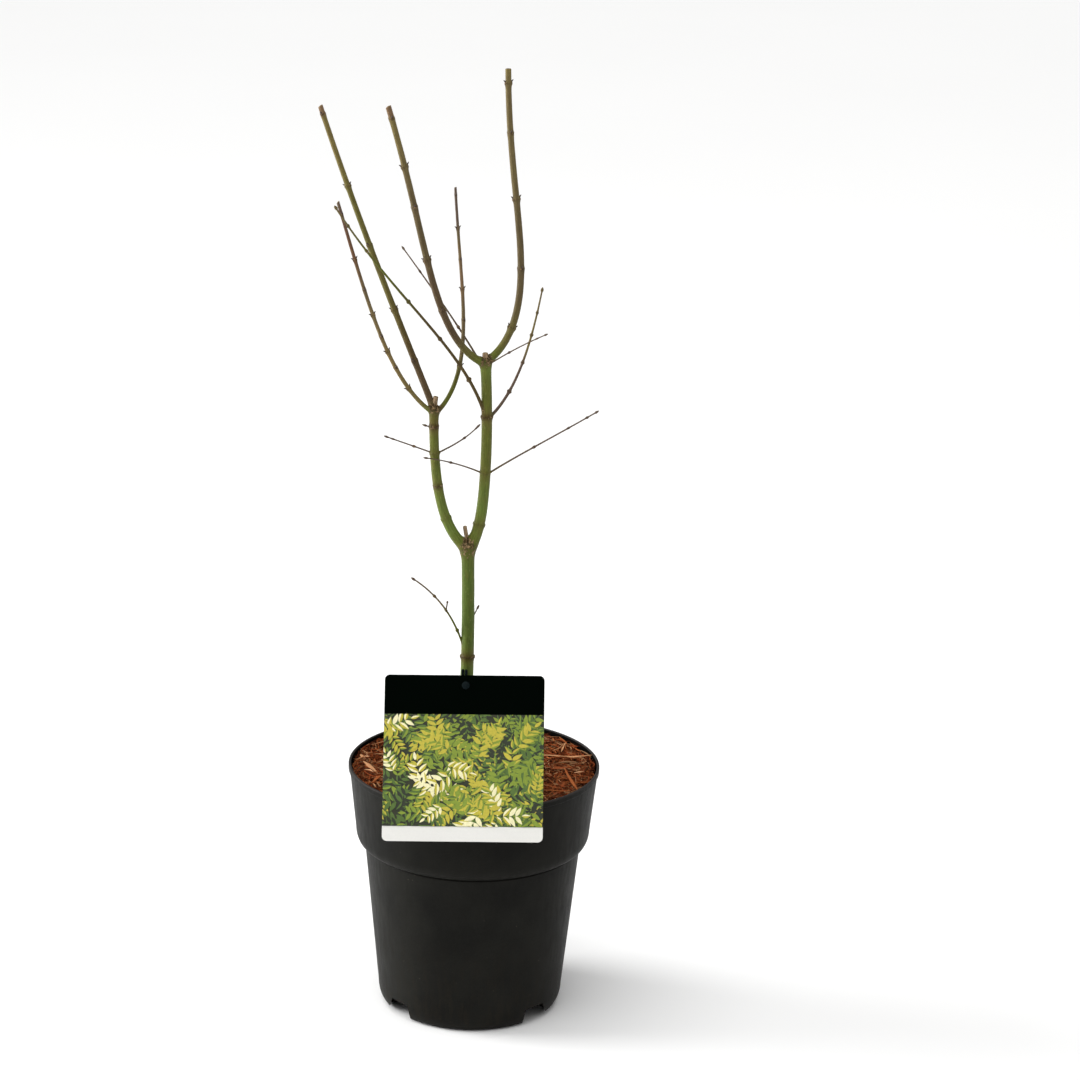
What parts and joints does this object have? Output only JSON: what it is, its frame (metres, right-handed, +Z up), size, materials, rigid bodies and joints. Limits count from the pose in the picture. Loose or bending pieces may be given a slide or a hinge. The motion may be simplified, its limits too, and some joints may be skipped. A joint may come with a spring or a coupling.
{
  "type": "potted full moon maple",
  "caption": "Leafless young full moon maple with cut-back shoots, in a round black nursery pot filled with bark, with a picture label card tied to its trunk",
  "frame": {"origin": "middle of the pot's flat underside, on the surface that the pot stands on", "axes": "+Z up the plant from the pot's underside to the top shoot, -Y to the front, where the label card leans on the rim, +X to the right as seen from the front"},
  "size_m": [0.2339, 0.2173, 0.7731],
  "materials": {
    "pot_plastic": "dull black moulded plastic with a fine grain",
    "bark_mulch": "loose shredded reddish bark, rough and dry on top",
    "green_bark": "smooth olive green bark with pale flecks and brown node rings",
    "shoot_bark": "smooth young bark, grey-brown to olive, dry brown at the cut tips",
    "twig_bark": "thin brown and purplish twigs with pointed end buds",
    "label_plastic": "printed plastic card with a slight gloss",
    "tie_plastic": "smooth black flexible plastic"
  },
  "bodies": {
    "root": {"pot": "pot_plastic", "growing_medium": "bark_mulch", "trunk": "green_bark", "left_bough": "green_bark", "right_bough": "green_bark", "right_leader": "shoot_bark", "right_inner_leader": "shoot_bark", "left_leader": "shoot_bark", "left_outer_shoot": "shoot_bark", "left_inner_shoot": "shoot_bark", "trunk_left_twig": "twig_bark", "trunk_right_spur": "twig_bark", "left_bough_left_twig": "twig_bark", "left_bough_right_twig": "twig_bark", "left_bough_spur": "twig_bark", "right_bough_right_twig": "twig_bark", "right_bough_left_twig": "twig_bark", "long_left_twig": "twig_bark", "long_right_twig": "twig_bark", "fork_right_twig": "twig_bark", "fork_left_twig": "twig_bark", "label_card": "label_plastic", "label_tie": "tie_plastic"}
  },
  "joints": []
}
